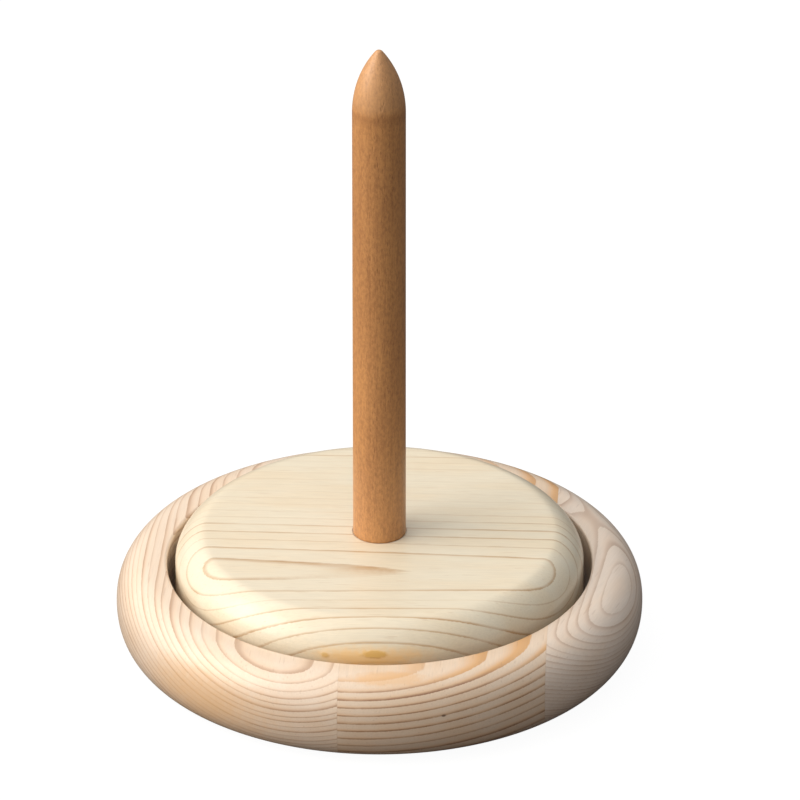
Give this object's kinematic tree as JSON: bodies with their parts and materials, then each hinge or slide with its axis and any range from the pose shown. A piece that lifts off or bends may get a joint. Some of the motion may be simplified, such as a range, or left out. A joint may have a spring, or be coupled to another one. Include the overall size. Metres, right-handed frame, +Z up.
{
  "type": "revolving peg stand",
  "caption": "Round pine stand with a thick rounded rim, an inset pine platter that turns freely on a flat ball bearing, and a tall hardwood peg with a bullet tip.",
  "frame": {"origin": "on the stand's axis, at the surface it rests on", "axes": "+Z up along the peg and the platter's turning axis, -Y towards the front, +X to the right"},
  "size_m": [0.16, 0.16, 0.199],
  "materials": {
    "pine_base": "satin lacquered pine",
    "pine_platter": "satin lacquered pine",
    "hardwood": "satin oiled hardwood",
    "felt": "dense felt",
    "zinc_steel": "zinc plated pressed steel",
    "ball_steel": "polished steel",
    "nylon": "moulded nylon",
    "screw_steel": "zinc plated steel"
  },
  "bodies": {
    "base": {"base_board_left": "pine_base", "base_board_centre": "pine_base", "base_board_right": "pine_base", "pad_front_left": "felt", "pad_front_right": "felt", "pad_back_left": "felt", "pad_back_right": "felt", "bearing_lower_plate": "zinc_steel", "lower_plate_screws": "screw_steel"},
    "platter": {"platter": "pine_platter", "peg": "hardwood", "peg_screw": "screw_steel", "bearing_upper_plate": "zinc_steel", "upper_plate_screws": "screw_steel"},
    "ball_race": {"bearing_balls": "ball_steel", "ball_cage": "nylon"}
  },
  "joints": [
    {"name": "platter_spin", "type": "hinge", "parent": "base", "child": "platter", "pos_m": [0, 0, 0.0114], "axis": [0, 0, 1], "continuous": true},
    {"name": "race_spin", "type": "hinge", "parent": "base", "child": "ball_race", "pos_m": [0, 0, 0.0114], "axis": [0, 0, 1], "continuous": true}
  ],
  "couplings": [
    {"joint": "race_spin", "follows": "platter_spin", "ratio": 0.5}
  ]
}
